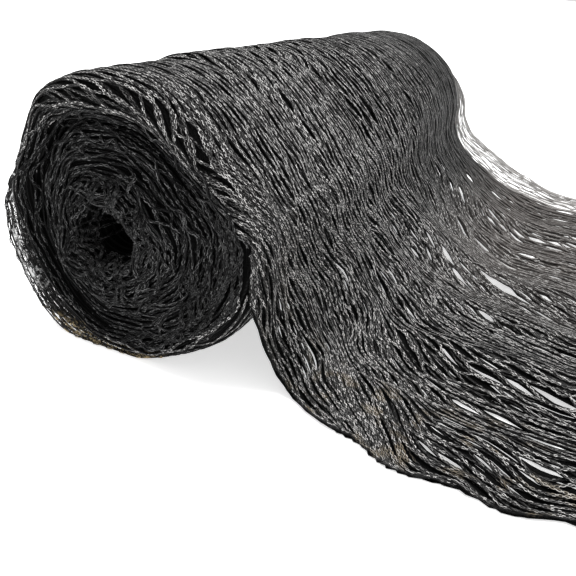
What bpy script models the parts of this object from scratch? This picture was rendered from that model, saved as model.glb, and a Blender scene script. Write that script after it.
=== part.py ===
"""Bird netting roll: a knitted garden net, gathered and wound into one loose roll.

Metres, +Z up. The roll lies along Y with its near end at -Y, and its flat spot rests on z = 0.
The outermost turn comes over the top, falls down the +X side and runs out along the surface.
Angles round the roll are counted from +X over the top (90 degrees) to -X (180 degrees).
"""

import math
from collections import namedtuple

import bmesh
import bpy

# The wound roll
ROLL_LENGTH = 0.600
ROLL_RADIUS = 0.0975
FLAT_DROP = 0.0045        # how far the roll has settled onto its flat spot
STEPS_ROUND = 44
LONGEST_STEP = 0.045      # between two sections along the roll
TURN_PITCH = 0.016        # from one bundle of turns to the next on an end face
TURN_RIDGE = 0.0020
RIM_WAVE = 0.0025
CORE_X = -0.020           # the core lies off the roll's middle, where the turns have sagged
CORE_Z = -0.014
NEAR_RINGS = 19
FAR_RINGS = 11
SMALLEST_RING = 0.05      # as a share of the roll's radius

# The loose end, a gathered sheet of two to three strand layers
SHEET = 0.0025
SHEET_GAP = 0.0005        # between the sheet and the turn below it
FIRST_STEP = 20           # the step round the roll where the loose end begins, behind the top
LEFT_BEHIND = 4           # steps below +X in which the roll takes its full radius again
FALL_ROWS = 26
CURVE_STEPS = 96
FAR_OVERHANG = 0.012      # the net's far edge stands this far past the roll
LOOSE_REACH = 0.400       # the cut end, measured along X from the roll's middle
FOLD_START = 0.015
FOLD_FULL = 0.090         # distance along the fall where a fold has its full height

# The lens-shaped gaps between strands, cut through where light shows
GAP_FIRST_ROW = 3
GAP_EVERY = 4
GAP_HALF_WIDTH = 0.0031
DENSE_Y = -0.150          # nearer than this, and close to the roll, the net is closed up
DENSE_X = 0.150

NET_BLACK = (0.020, 0.020, 0.022, 1.0)
LOOSE_BLACK = (0.028, 0.028, 0.030, 1.0)

MIDDLE_Z = ROLL_RADIUS - FLAT_DROP
NEAR_Y = -ROLL_LENGTH / 2
FAR_Y = ROLL_LENGTH / 2

# Valleys that run round the roll between bands of strands
Crease = namedtuple("Crease", "place depth width drift turn")
CREASES = (
    Crease(place=-0.214, depth=0.0026, width=0.016, drift=0.005, turn=0.9),
    Crease(place=-0.112, depth=0.0034, width=0.014, drift=0.008, turn=1.9),
    Crease(place=-0.046, depth=0.0018, width=0.016, drift=0.006, turn=3.4),
    Crease(place=0.036, depth=0.0030, width=0.016, drift=0.008, turn=0.6),
    Crease(place=0.114, depth=0.0020, width=0.018, drift=0.005, turn=4.9),
    Crease(place=0.198, depth=0.0028, width=0.016, drift=0.007, turn=2.4),
)

# Radius along the roll, as a difference from ROLL_RADIUS
Swell = namedtuple("Swell", "y rise")
SWELLS = (
    Swell(NEAR_Y, -0.0010),
    Swell(-0.240, -0.0018),
    Swell(-0.180, 0.0012),
    Swell(-0.080, 0.0004),
    Swell(0.000, 0.0012),
    Swell(0.080, -0.0006),
    Swell(0.160, 0.0010),
    Swell(0.240, -0.0004),
    Swell(FAR_Y, -0.0012),
)

# The near rim: it is drawn in and rounded on the side of the loose end, and flares out at the back
Shoulder = namedtuple("Shoulder", "angle drawn_in length flare")
SHOULDERS = (
    Shoulder(angle=0, drawn_in=0.009, length=0.022, flare=0.000),
    Shoulder(angle=45, drawn_in=0.021, length=0.034, flare=0.000),
    Shoulder(angle=90, drawn_in=0.013, length=0.026, flare=0.000),
    Shoulder(angle=135, drawn_in=0.006, length=0.014, flare=0.001),
    Shoulder(angle=180, drawn_in=0.003, length=0.012, flare=0.005),
    Shoulder(angle=225, drawn_in=0.002, length=0.012, flare=0.006),
    Shoulder(angle=270, drawn_in=0.004, length=0.014, flare=0.002),
    Shoulder(angle=315, drawn_in=0.008, length=0.018, flare=0.000),
)
FAR_DRAWN_IN = 0.010
FAR_ROUND = 0.026

# An end face from rim to middle: how deep it lies, on its upper left and on its lower right
Ring = namedtuple("Ring", "share upper lower")
END_FACE = (
    Ring(share=1.00, upper=0.000, lower=0.000),
    Ring(share=0.94, upper=-0.003, lower=0.001),
    Ring(share=0.88, upper=0.004, lower=0.003),
    Ring(share=0.82, upper=0.014, lower=0.005),
    Ring(share=0.74, upper=0.010, lower=0.006),
    Ring(share=0.62, upper=0.006, lower=0.005),
    Ring(share=0.48, upper=0.004, lower=0.002),
    Ring(share=0.36, upper=0.001, lower=0.000),
    Ring(share=0.27, upper=0.003, lower=0.004),
    Ring(share=0.20, upper=0.014, lower=0.015),
    Ring(share=0.14, upper=0.036, lower=0.036),
    Ring(share=0.00, upper=0.056, lower=0.056),
)

# Crumpled curls round the core, and the fan of strands at the lower right
Lump = namedtuple("Lump", "angle share rise size")
NEAR_LUMPS = (
    Lump(angle=98, share=0.38, rise=0.008, size=0.012),
    Lump(angle=150, share=0.30, rise=0.005, size=0.010),
    Lump(angle=212, share=0.40, rise=0.008, size=0.013),
    Lump(angle=262, share=0.47, rise=0.006, size=0.011),
    Lump(angle=305, share=0.70, rise=0.005, size=0.020),
    Lump(angle=25, share=0.42, rise=0.004, size=0.012),
    Lump(angle=180, share=0.62, rise=-0.006, size=0.012),
)
FAR_LUMPS = (
    Lump(angle=60, share=0.36, rise=0.007, size=0.013),
    Lump(angle=200, share=0.42, rise=0.008, size=0.014),
    Lump(angle=300, share=0.55, rise=0.005, size=0.018),
)

# How the loose end falls: how far out it touches down, and how square its curve is
Fall = namedtuple("Fall", "y touch square")
FALLS = (
    Fall(NEAR_Y, 0.034, 2.3),
    Fall(-0.200, 0.056, 2.1),
    Fall(-0.100, 0.095, 1.9),
    Fall(0.050, 0.135, 1.8),
    Fall(0.180, 0.155, 1.75),
    Fall(FAR_Y + FAR_OVERHANG, 0.165, 1.75),
)

# Soft folds that run out along the loose end
Fold = namedtuple("Fold", "y height width drift")
FOLDS = (
    Fold(y=-0.255, height=0.0070, width=0.056, drift=-0.012),
    Fold(y=-0.168, height=0.0100, width=0.074, drift=-0.018),
    Fold(y=-0.085, height=0.0060, width=0.050, drift=-0.022),
    Fold(y=-0.015, height=0.0125, width=0.078, drift=-0.016),
    Fold(y=0.074, height=0.0050, width=0.050, drift=-0.010),
    Fold(y=0.142, height=0.0110, width=0.082, drift=0.004),
    Fold(y=0.232, height=0.0060, width=0.060, drift=0.008),
    Fold(y=0.296, height=0.0045, width=0.040, drift=0.006),
)

# Where the net's two long edges run on the surface, as a shift along Y
Drift = namedtuple("Drift", "x near far")
DRIFTS = (
    Drift(0.095, 0.000, 0.000),
    Drift(0.118, -0.001, 0.000),
    Drift(0.165, -0.015, 0.000),
    Drift(0.230, -0.021, 0.002),
    Drift(0.310, -0.014, 0.004),
    Drift(LOOSE_REACH, -0.022, -0.004),
)
EDGE_WAVE = 0.0035
EDGE_BAND = 0.080         # how far into the net an edge's shift is felt


def ease(share):
    share = min(max(share, 0.0), 1.0)
    return share * share * (3 - 2 * share)


def read_table(rows, where, at, column):
    """A column of a table, eased between the rows on either side of a place."""
    places = [getattr(row, where) for row in rows]
    values = [getattr(row, column) for row in rows]
    if places[0] > places[-1]:
        places.reverse()
        values.reverse()
    if at <= places[0]:
        return values[0]
    for left, right, first, last in zip(places, places[1:], values, values[1:]):
        if at <= right:
            return first + (last - first) * ease((at - left) / (right - left))
    return values[-1]


def shoulder(angle, column):
    """A column of the near rim's table at an angle in radians, the table closing on itself."""
    degrees = math.degrees(angle) % 360
    around = SHOULDERS + (SHOULDERS[0]._replace(angle=360),)
    return read_table(around, "angle", degrees, column)


def quarter_round(share):
    """One at the end of a rounded rim, and nothing where the straight part begins."""
    share = min(max(share, 0.0), 1.0)
    return 1 - math.sqrt(1 - (1 - share) ** 2)


def pressed(angle):
    """How strongly the roll's own weight evens out its underside."""
    return max(0.0, -math.sin(angle)) ** 3


def outer_radius(angle, y):
    """The radius of the outermost turn."""
    radius = ROLL_RADIUS + read_table(SWELLS, "y", y, "rise")
    radius += 0.0014 * math.cos(2 * angle + 0.6) + 0.0009 * math.cos(3 * angle - 1.1)
    for crease in CREASES:
        middle = crease.place + crease.drift * math.sin(angle + crease.turn)
        apart = abs(y - middle) / crease.width
        strength = 0.65 + 0.35 * math.cos(angle - crease.turn)
        radius -= crease.depth * strength * (1 - ease(apart)) * (1 - pressed(angle))
    near = (y - NEAR_Y) / shoulder(angle, "length")
    radius -= shoulder(angle, "drawn_in") * quarter_round(near)
    radius += shoulder(angle, "flare") * (1 - ease((y - NEAR_Y) / 0.030))
    radius -= FAR_DRAWN_IN * quarter_round((FAR_Y - y) / FAR_ROUND)
    return radius


def under_sheet(step):
    """How much of the loose end's thickness the roll gives up below it at a step round."""
    if step <= FIRST_STEP:
        return 1.0
    return ease(1 - (STEPS_ROUND - step) / LEFT_BEHIND)


def rim_shift(angle, y):
    """The unevenness of the roll's two ends along Y, which fades towards its middle."""
    wave = math.sin(2 * angle + 0.8) + 0.6 * math.sin(5 * angle + 2.0)
    return RIM_WAVE * wave * (2 * abs(y) / ROLL_LENGTH) ** 12


def on_roll(angle, y, radius):
    height = MIDDLE_Z + radius * math.sin(angle)
    return (radius * math.cos(angle), y + rim_shift(angle, y), max(0.0, height))


def step_angle(step):
    return 2 * math.pi * step / STEPS_ROUND


def stations():
    """The places along Y at which both the roll and the sheet are measured."""
    places = [NEAR_Y, NEAR_Y + 0.0025, NEAR_Y + 0.009, NEAR_Y + 0.019, NEAR_Y + 0.034]
    for crease in CREASES:
        places += [crease.place - crease.width / 2, crease.place, crease.place + crease.width / 2]
    places += [FAR_Y - FAR_ROUND, FAR_Y - 0.012, FAR_Y - 0.004, FAR_Y]
    filled = [places[0]]
    for place in places[1:]:
        pieces = math.ceil((place - filled[-1]) / LONGEST_STEP)
        start = filled[-1]
        filled += [start + (place - start) * k / pieces for k in range(1, pieces + 1)]
    return filled


def face_depth(angle, share, lumps):
    """How deep an end face lies behind its rim, with its spiral of turns and its curls."""
    side = 0.5 + 0.5 * math.cos(angle - math.radians(125))
    upper = read_table(END_FACE, "share", share, "upper")
    lower = read_table(END_FACE, "share", share, "lower")
    depth = lower + (upper - lower) * side
    radius = share * ROLL_RADIUS
    turns = radius / TURN_PITCH - angle / (2 * math.pi)
    fade = ease((share - 0.22) / 0.15) * ease((1 - share) / 0.1)
    depth -= TURN_RIDGE * math.cos(2 * math.pi * turns) * fade
    x = radius * math.cos(angle)
    z = radius * math.sin(angle)
    for lump in lumps:
        turn = math.radians(lump.angle)
        away = math.hypot(
            x - lump.share * ROLL_RADIUS * math.cos(turn),
            z - lump.share * ROLL_RADIUS * math.sin(turn),
        )
        depth -= lump.rise * (1 - ease(away / (1.6 * lump.size)))
    return depth


def end_face(bm, rim, y, rings, lumps):
    """Rings of points from an end's rim to the bottom of its core, closed by a fan."""
    inward = 1 if y < 0 else -1
    previous = rim
    for ring in range(1, rings + 1):
        share = 1 - (1 - SMALLEST_RING) * ring / rings
        points = []
        for step in range(STEPS_ROUND):
            angle = step_angle(step)
            edge = rim[step].co
            depth = face_depth(angle, share, lumps)
            place_y = y + rim_shift(angle, y) * share ** 3 + inward * depth
            x = edge.x * share + CORE_X * (1 - share)
            z = MIDDLE_Z + (edge.z - MIDDLE_Z) * share + CORE_Z * (1 - share)
            points.append(bm.verts.new((x, place_y, z)))
        bridge(bm, previous, points, inward > 0)
        previous = points
    bottom = y + inward * face_depth(0, 0, lumps)
    core = bm.verts.new((CORE_X, bottom, MIDDLE_Z + CORE_Z))
    for step in range(STEPS_ROUND):
        corners = (previous[step], previous[(step + 1) % STEPS_ROUND], core)
        bm.faces.new(corners if inward > 0 else corners[::-1])


def bridge(bm, first, second, turned):
    """A band of quads between two closed rows of points."""
    for step in range(STEPS_ROUND):
        after = (step + 1) % STEPS_ROUND
        corners = (first[step], first[after], second[after], second[step])
        bm.faces.new(corners if turned else corners[::-1])


def make_roll(collection):
    """The wound net, one solid lofted through its sections, with a hollow core at each end."""
    bm = bmesh.new()
    rows = []
    for y in stations():
        row = []
        for step in range(STEPS_ROUND):
            angle = step_angle(step)
            radius = outer_radius(angle, y) - (SHEET + SHEET_GAP) * under_sheet(step)
            row.append(bm.verts.new(on_roll(angle, y, radius)))
        rows.append(row)
    for first, second in zip(rows, rows[1:]):
        bridge(bm, first, second, False)
    end_face(bm, rows[0], NEAR_Y, NEAR_RINGS, NEAR_LUMPS)
    end_face(bm, rows[-1], FAR_Y, FAR_RINGS, FAR_LUMPS)
    bmesh.ops.recalc_face_normals(bm, faces=bm.faces)
    return finish(bm, "netting_roll", net_material("wound net", NET_BLACK), collection)


def fall_curve(y, start):
    """Points down the +X side and out along the surface, at one place along the roll."""
    touch = read_table(FALLS, "y", y, "touch")
    power = 2 / read_table(FALLS, "y", y, "square")
    points = []
    for k in range(CURVE_STEPS + 1):
        turn = 0.5 * math.pi * k / CURVE_STEPS
        x = start + touch * (1 - math.cos(turn) ** power)
        points.append((x, MIDDLE_Z * (1 - math.sin(turn) ** power)))
    points.append((LOOSE_REACH, 0.0))
    return points


def along(points, rows):
    """Evenly spaced places on a polyline, each with its direction and its distance run."""
    runs = [0.0]
    for (x0, z0), (x1, z1) in zip(points, points[1:]):
        runs.append(runs[-1] + math.hypot(x1 - x0, z1 - z0))
    places = []
    piece = 0
    for k in range(1, rows + 1):
        run = runs[-1] * k / rows
        while piece < len(points) - 2 and runs[piece + 1] < run:
            piece += 1
        (x0, z0), (x1, z1) = points[piece], points[piece + 1]
        length = runs[piece + 1] - runs[piece]
        share = (run - runs[piece]) / length
        heading = ((x1 - x0) / length, (z1 - z0) / length)
        places.append((x0 + (x1 - x0) * share, z0 + (z1 - z0) * share, heading, run))
    return places


def fold_height(x, y, run):
    out = min(max((x - ROLL_RADIUS) / (LOOSE_REACH - ROLL_RADIUS), 0.0), 1.0)
    height = 0.0
    for fold in FOLDS:
        middle = fold.y + fold.drift * out + 0.006 * math.sin(9 * out + 20 * fold.y)
        height = max(height, fold.height * (1 - ease(2 * abs(y - middle) / fold.width)))
    return height * ease((run - FOLD_START) / (FOLD_FULL - FOLD_START))


def edge_shift(x, y, run):
    """How far the net's edges are drawn in or out along Y on the loose end."""
    near = read_table(DRIFTS, "x", x, "near") + EDGE_WAVE * math.sin(95 * run)
    far = read_table(DRIFTS, "x", x, "far") + EDGE_WAVE * math.sin(80 * run + 1.3)
    near *= ease(1 - (y - NEAR_Y) / EDGE_BAND)
    far *= ease(1 - (FAR_Y - y) / EDGE_BAND)
    return (near + far) * ease(run / 0.05)


def sheet_rows():
    """The points of the loose end's inner side, a row for each step along the net."""
    places = stations()[2:] + [FAR_Y + FAR_OVERHANG]
    rows = []
    for step in range(FIRST_STEP, -1, -1):
        angle = step_angle(step)
        row = []
        for y in places:
            radius = outer_radius(angle, min(y, FAR_Y)) - SHEET
            row.append(on_roll(angle, y, radius))
        rows.append(row)
    columns = []
    for y, (start, _, _) in zip(places, rows[-1]):
        column = []
        for x, z, (out, down), run in along(fall_curve(y, start), FALL_ROWS):
            fold = fold_height(x, y, run)
            place_y = y + rim_shift(0, y) + edge_shift(x, y, run)
            column.append((x - down * fold, place_y, max(0.0, z + out * fold)))
        columns.append(column)
    return rows + [list(row) for row in zip(*columns)]


def is_gap(row, column, point):
    """Whether a lens-shaped gap opens at this point of the grid."""
    fallen = row - (FIRST_STEP + 1)
    if fallen < GAP_FIRST_ROW or fallen > FALL_ROWS - 3:
        return False
    if point[1] < DENSE_Y and point[0] < DENSE_X:
        return False
    return (fallen - GAP_FIRST_ROW) % GAP_EVERY == 2 * (column % 2)


def make_loose_end(collection):
    """The outermost turn where it leaves the roll: a sheet given its thickness by Solidify."""
    bm = bmesh.new()
    points = sheet_rows()
    last = len(points[0]) - 1
    left = []
    right = []
    for r, row in enumerate(points):
        pairs = []
        for c, point in enumerate(row):
            if 0 < c < last and is_gap(r, c, point):
                half = GAP_HALF_WIDTH * (1 + 0.3 * math.sin(12.9 * r + 78.2 * c))
                x, y, z = point
                pairs.append((bm.verts.new((x, y - half, z)), bm.verts.new((x, y + half, z))))
            else:
                vertex = bm.verts.new(point)
                pairs.append((vertex, vertex))
        left.append([pair[0] for pair in pairs])
        right.append([pair[1] for pair in pairs])
    for r in range(len(points) - 1):
        for c in range(last):
            corners = (right[r + 1][c], left[r + 1][c + 1], left[r][c + 1], right[r][c])
            bm.faces.new(corners)
    sheet = finish(bm, "loose_end", net_material("loose net", LOOSE_BLACK), collection)
    thickness = sheet.modifiers.new("thickness", "SOLIDIFY")
    thickness.thickness = SHEET
    thickness.offset = 1.0
    return sheet


def net_material(name, colour):
    """Black knitted polyethylene with a dull gloss."""
    material = bpy.data.materials.new(name)
    material.use_nodes = True
    material.diffuse_color = colour
    shader = material.node_tree.nodes["Principled BSDF"]
    shader.inputs["Base Color"].default_value = colour
    shader.inputs["Roughness"].default_value = 0.46
    shader.inputs["Metallic"].default_value = 0.0
    return material


def finish(bm, name, material, collection):
    mesh = bpy.data.meshes.new(name)
    bm.to_mesh(mesh)
    bm.free()
    mesh.materials.append(material)
    mesh.shade_smooth()
    mesh.set_sharp_from_angle(angle=math.radians(55))
    obj = bpy.data.objects.new(name, mesh)
    collection.objects.link(obj)
    return obj


def main():
    for obj in list(bpy.data.objects):
        bpy.data.objects.remove(obj)
    collection = bpy.data.collections.new("Bird netting roll")
    bpy.context.scene.collection.children.link(collection)
    make_roll(collection)
    make_loose_end(collection)


main()
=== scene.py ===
import math

import bpy
import numpy as np
from mathutils import Matrix, Vector


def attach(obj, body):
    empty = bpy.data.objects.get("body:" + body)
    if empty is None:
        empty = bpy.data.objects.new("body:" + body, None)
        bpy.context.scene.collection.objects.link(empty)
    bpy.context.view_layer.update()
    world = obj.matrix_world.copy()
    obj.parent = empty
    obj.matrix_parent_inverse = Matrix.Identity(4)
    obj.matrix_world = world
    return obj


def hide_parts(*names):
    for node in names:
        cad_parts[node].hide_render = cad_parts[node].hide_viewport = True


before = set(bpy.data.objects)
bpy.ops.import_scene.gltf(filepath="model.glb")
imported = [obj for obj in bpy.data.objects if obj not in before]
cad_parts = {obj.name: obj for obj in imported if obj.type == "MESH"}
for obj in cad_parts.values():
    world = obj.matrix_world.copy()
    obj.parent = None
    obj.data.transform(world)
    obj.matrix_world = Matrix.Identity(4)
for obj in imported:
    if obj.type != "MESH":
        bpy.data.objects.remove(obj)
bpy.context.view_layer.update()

# All sizes are in metres. The roll lies along Y, its net comes over the top, falls down the +X side
# and runs out on the floor. Angles are counted from +X over the top.

rollShape = {
    "length": 0.600,
    "radius": 0.0975,
    "flatDrop": 0.0045,
    "coreX": -0.020,         # the core sits off the middle, where the turns have sagged
    "coreZ": -0.014,
    "turnPitch": 0.016,
    "turnRidge": 0.0020,
    "rimWave": 0.0025,
    "farDrawnIn": 0.010,
    "farRound": 0.026,
}
nearY = -rollShape["length"] / 2
farY = rollShape["length"] / 2
middleZ = rollShape["radius"] - rollShape["flatDrop"]

# place along the roll, depth, width, drift round the roll, where it is deepest
creaseTable = (
    (-0.214, 0.0026, 0.016, 0.005, 0.9),
    (-0.112, 0.0034, 0.014, 0.008, 1.9),
    (-0.046, 0.0018, 0.016, 0.006, 3.4),
    (0.036, 0.0030, 0.016, 0.008, 0.6),
    (0.114, 0.0020, 0.018, 0.005, 4.9),
    (0.198, 0.0028, 0.016, 0.007, 2.4),
)
# y, change of radius
swellTable = (
    (nearY, -0.0010), (-0.240, -0.0018), (-0.180, 0.0012), (-0.080, 0.0004), (0.000, 0.0012),
    (0.080, -0.0006), (0.160, 0.0010), (0.240, -0.0004), (farY, -0.0012),
)
# angle, drawn in, length of the rounding, flare
shoulderTable = (
    (0, 0.009, 0.022, 0.000), (45, 0.021, 0.034, 0.000), (90, 0.013, 0.026, 0.000),
    (135, 0.006, 0.014, 0.001), (180, 0.003, 0.012, 0.005), (225, 0.002, 0.012, 0.006),
    (270, 0.004, 0.014, 0.002), (315, 0.008, 0.018, 0.000), (360, 0.009, 0.022, 0.000),
)
# share of the radius, depth on the upper left, depth on the lower right
faceTable = (
    (0.00, 0.056, 0.056), (0.14, 0.036, 0.036), (0.20, 0.014, 0.015), (0.27, 0.003, 0.004),
    (0.36, 0.001, 0.000), (0.48, 0.004, 0.002), (0.62, 0.006, 0.005), (0.74, 0.010, 0.006),
    (0.82, 0.014, 0.005), (0.88, 0.004, 0.003), (0.94, -0.003, 0.001), (1.00, 0.000, 0.000),
)
# angle, share of the radius, rise, size
nearLumps = (
    (98, 0.38, 0.008, 0.012), (150, 0.30, 0.005, 0.010), (212, 0.40, 0.008, 0.013),
    (262, 0.47, 0.006, 0.011), (305, 0.70, 0.005, 0.020), (25, 0.42, 0.004, 0.012),
    (180, 0.62, -0.006, 0.012),
)
farLumps = ((60, 0.36, 0.007, 0.013), (200, 0.42, 0.008, 0.014), (300, 0.55, 0.005, 0.018))

looseShape = {
    "thick": 0.0025,
    "firstAngle": 2 * math.pi * 20 / 44,
    "lastAngle": math.radians(346),
    "overhang": 0.012,
    "overRim": 0.060,
    "reach": 0.400,
    "foldStart": 0.015,
    "foldFull": 0.090,
    "edgeWave": 0.0035,
    "edgeBand": 0.080,
    "runOut": 0.370,         # mean length from where the net leaves the roll to its cut end
    "fallRows": 26,
    "readPast": 0.0461,      # how far past the far end its surface is read
}
# y, how far out the net touches down, how square its curve is
fallTable = (
    (nearY, 0.034, 2.3), (-0.200, 0.056, 2.1), (-0.100, 0.095, 1.9), (0.050, 0.135, 1.8),
    (0.180, 0.155, 1.75), (farY + looseShape["overhang"], 0.165, 1.75),
)
# y, height, width, drift
foldTable = (
    (-0.255, 0.0070, 0.056, -0.012), (-0.168, 0.0100, 0.074, -0.018),
    (-0.085, 0.0060, 0.050, -0.022), (-0.015, 0.0125, 0.078, -0.016),
    (0.074, 0.0050, 0.050, -0.010), (0.142, 0.0110, 0.082, 0.004),
    (0.232, 0.0060, 0.060, 0.008), (0.296, 0.0045, 0.040, 0.006),
)
# x, shift of the near edge, shift of the far edge
driftTable = (
    (0.095, 0.000, 0.000), (0.118, -0.001, 0.000), (0.165, -0.015, 0.000),
    (0.230, -0.021, 0.002), (0.310, -0.014, 0.004), (looseShape["reach"], -0.022, -0.004),
)


def ease(share):
    share = np.clip(share, 0.0, 1.0)
    return share * share * (3 - 2 * share)


def readTable(table, at, column):
    # a column of a table, eased between its rows
    rows = np.array(table, float)
    places, values = rows[:, 0], rows[:, column]
    k = np.clip(np.searchsorted(places, at, side="right") - 1, 0, len(places) - 2)
    return values[k] + (values[k + 1] - values[k]) * ease((at - places[k]) / (places[k + 1] - places[k]))


def smoothNoise(x, y, seed):
    # soft noise from -1 to 1 with a cell of 1, the same each run
    size = 64
    lattice = np.random.default_rng(seed).random((size, size)) * 2 - 1
    cellX, cellY = np.floor(x).astype(int), np.floor(y).astype(int)
    shareX, shareY = ease(x - cellX), ease(y - cellY)
    a = lattice[cellX % size, cellY % size]
    b = lattice[(cellX + 1) % size, cellY % size]
    c = lattice[cellX % size, (cellY + 1) % size]
    d = lattice[(cellX + 1) % size, (cellY + 1) % size]
    return (a + (b - a) * shareX) * (1 - shareY) + (c + (d - c) * shareX) * shareY


def evened(line, **padding):
    window = np.hanning(15)[1:-1]
    window = window / window.sum()
    return np.convolve(np.pad(line, len(window) // 2, **padding), window, "valid")


def quarterRound(share):
    return 1 - np.sqrt(1 - (1 - np.clip(share, 0.0, 1.0)) ** 2)


def outerRadius(angle, y):
    degrees = np.degrees(angle) % 360
    radius = rollShape["radius"] + readTable(swellTable, y, 1)
    radius = radius + 0.0014 * np.cos(2 * angle + 0.6) + 0.0009 * np.cos(3 * angle - 1.1)
    pressed = np.maximum(0.0, -np.sin(angle)) ** 3
    for place, depth, width, drift, turn in creaseTable:
        apart = np.abs(y - place - drift * np.sin(angle + turn)) / width
        strength = 0.65 + 0.35 * np.cos(angle - turn)
        radius = radius - depth * strength * (1 - ease(apart)) * (1 - pressed)
    near = (y - nearY) / readTable(shoulderTable, degrees, 2)
    radius = radius - readTable(shoulderTable, degrees, 1) * quarterRound(near)
    radius = radius + readTable(shoulderTable, degrees, 3) * (1 - ease((y - nearY) / 0.030))
    return radius - rollShape["farDrawnIn"] * quarterRound((farY - y) / rollShape["farRound"])


def rimShift(angle, y):
    wave = np.sin(2 * angle + 0.8) + 0.6 * np.sin(5 * angle + 2.0)
    return rollShape["rimWave"] * wave * np.minimum(2 * np.abs(y) / rollShape["length"], 1) ** 12


def onRoll(angle, y, radius):
    height = np.maximum(0.0, middleZ + radius * np.sin(angle))
    return np.stack([radius * np.cos(angle), y + rimShift(angle, y), height], -1)


def faceDepth(angle, share, lumps):
    side = 0.5 + 0.5 * np.cos(angle - math.radians(125))
    upper, lower = readTable(faceTable, share, 1), readTable(faceTable, share, 2)
    depth = lower + (upper - lower) * side
    radius = share * rollShape["radius"]
    turns = radius / rollShape["turnPitch"] - angle / (2 * math.pi)
    fade = ease((share - 0.22) / 0.15) * ease((1 - share) / 0.1)
    depth = depth - rollShape["turnRidge"] * np.cos(2 * math.pi * turns) * fade
    for degrees, lumpShare, rise, size in lumps:
        turn = math.radians(degrees)
        awayX = radius * np.cos(angle) - lumpShare * rollShape["radius"] * math.cos(turn)
        awayZ = radius * np.sin(angle) - lumpShare * rollShape["radius"] * math.sin(turn)
        depth = depth - rise * (1 - ease(np.hypot(awayX, awayZ) / (1.6 * size)))
    return depth


def readGrid(grid, x, y):
    # what a grid holds between its rows and columns
    x = np.clip(x, 0, grid.shape[0] - 1.0001)
    y = np.clip(y, 0, grid.shape[1] - 1.0001)
    i, j = x.astype(int), y.astype(int)
    a, b = x - i, y - j
    if grid.ndim > 2:
        a, b = a[..., None], b[..., None]
    low = grid[i, j] * (1 - a) + grid[i + 1, j] * a
    return low * (1 - b) + (grid[i, j + 1] * (1 - a) + grid[i + 1, j + 1] * a) * b


class Surface:
    # a grid of points with their outward normals, read at any place between them
    def __init__(self, points, lowU, highU, lowV, highV, outward):
        self.points = points
        normals = np.cross(np.gradient(points, axis=0), np.gradient(points, axis=1)) * outward
        self.normals = normals / np.maximum(np.linalg.norm(normals, axis=-1, keepdims=True), 1e-12)
        self.low = (lowU, lowV)
        self.high = (highU, highV)

    def at(self, u, v, lift=0.0):
        place = [(value - low) / (high - low) * (count - 1)
                 for value, low, high, count in zip((u, v), self.low, self.high, self.points.shape)]
        normals = readGrid(self.normals, *place)
        normals /= np.linalg.norm(normals, axis=-1, keepdims=True)
        return readGrid(self.points, *place) + normals * np.asarray(lift)[..., None], normals


# The near edge of the outer turn stands out from the roll as an open brim of single strands.
# angle, width of the brim
brimTable = (
    (0, 0.000), (128, 0.000), (158, 0.009), (190, 0.013), (235, 0.012), (262, 0.007), (300, 0.004),
    (336, 0.000), (360, 0.000),
)
brimDeep = 0.036             # how far in from the rim the turns below it are drawn in


def skinRadius(angle, y):
    # the turns that carry the strands, drawn in below the brim
    drawnIn = readTable(brimTable, np.degrees(angle) % 360, 1) * (1 - ease((y - nearY) / brimDeep))
    return outerRadius(angle, y) - drawnIn


def fallColumn(y, start):
    # one column down the side and out along the floor, evenly spaced: x, z, heading, distance
    touch = float(readTable(fallTable, y, 1))
    power = 2 / float(readTable(fallTable, y, 2))
    turn = np.linspace(0, math.pi / 2, 97)
    x = np.append(start + touch * (1 - np.cos(turn) ** power), looseShape["reach"])
    z = np.append(middleZ * (1 - np.sin(turn) ** power), 0.0)
    runs = np.append(0, np.cumsum(np.hypot(np.diff(x), np.diff(z))))
    run = np.linspace(0, runs[-1], fallSteps + 1)[1:]
    k = np.clip(np.searchsorted(runs, run) - 1, 0, len(runs) - 2)
    length = runs[k + 1] - runs[k]
    heading = ((x[k + 1] - x[k]) / length, (z[k + 1] - z[k]) / length)
    return np.interp(run, runs, x), np.interp(run, runs, z), heading, run


def foldHeight(x, y, run):
    low = rollShape["radius"]
    out = np.clip((x - low) / (looseShape["reach"] - low), 0.0, 1.0)
    height = np.zeros_like(x)
    for place, rise, width, drift in foldTable:
        middle = place + drift * out + 0.006 * np.sin(9 * out + 20 * place)
        height = np.maximum(height, rise * (1 - ease(2 * np.abs(y - middle) / width)))
    start, full = looseShape["foldStart"], looseShape["foldFull"]
    return height * ease((run - start) / (full - start))


def edgeShift(x, y, run):
    band = looseShape["edgeBand"]
    near = readTable(driftTable, x, 1) + looseShape["edgeWave"] * np.sin(95 * run)
    far = readTable(driftTable, x, 2) + looseShape["edgeWave"] * np.sin(80 * run + 1.3)
    near = near * ease(1 - (y - nearY) / band)
    return (near + far * ease(1 - (farY - y) / band)) * ease(run / 0.05)


def facePoints(angle, share, y, lumps, sunk=0.0):
    # places on an end of the roll, by angle and share of the radius
    edge = onRoll(angle, np.full_like(angle, y), skinRadius(angle, np.full_like(angle, y)))
    inward = 1 if y < 0 else -1
    depth = faceDepth(angle, share, lumps) + sunk
    x = edge[..., 0] * share + rollShape["coreX"] * (1 - share)
    z = middleZ + (edge[..., 2] - middleZ) * share + rollShape["coreZ"] * (1 - share)
    return np.stack([x, y + rimShift(angle, y) * share ** 3 + inward * depth, z], -1)


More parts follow.
